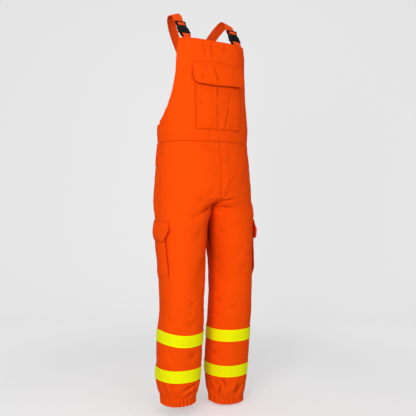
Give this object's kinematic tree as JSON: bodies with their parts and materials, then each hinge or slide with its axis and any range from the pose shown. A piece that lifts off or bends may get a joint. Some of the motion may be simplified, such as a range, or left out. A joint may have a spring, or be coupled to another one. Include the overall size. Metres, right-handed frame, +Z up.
{
  "type": "bib overalls",
  "caption": "Worn-form bib overalls in plain cloth with a chest pocket, cargo pockets, reflective leg bands, gathered ankles and buckled shoulder straps",
  "frame": {"origin": "midway between the tops of the two shoulder straps, where the wearer's shoulders hold the garment up", "axes": "+Z up, -Y out of the garment's front, +X to the wearer's left"},
  "size_m": [0.4338, 0.2641, 1.5671],
  "materials": {
    "orange_cloth": "matt twill",
    "webbing": "woven webbing",
    "reflective_tape": "smooth fluorescent tape",
    "buckle": "moulded, satin"
  },
  "bodies": {
    "root": {"back_panel": "orange_cloth", "back_waistband": "orange_cloth", "bib_front": "orange_cloth", "bib_pocket": "orange_cloth", "bib_pocket_flap": "orange_cloth", "fly_placket": "orange_cloth", "left_buckle_base": "buckle", "left_buckle_body": "buckle", "left_cargo_flap": "orange_cloth", "left_cargo_pocket": "orange_cloth", "left_cuff": "orange_cloth", "left_leg_back": "orange_cloth", "left_leg_front": "orange_cloth", "left_lower_band": "reflective_tape", "left_side_vent": "orange_cloth", "left_strap": "webbing", "left_strap_tab": "webbing", "left_upper_band": "reflective_tape", "right_buckle_base": "buckle", "right_buckle_body": "buckle", "right_cargo_flap": "orange_cloth", "right_cargo_pocket": "orange_cloth", "right_cuff": "orange_cloth", "right_leg_back": "orange_cloth", "right_leg_front": "orange_cloth", "right_lower_band": "reflective_tape", "right_side_vent": "orange_cloth", "right_strap": "webbing", "right_strap_tab": "webbing", "right_upper_band": "reflective_tape"}
  },
  "joints": []
}
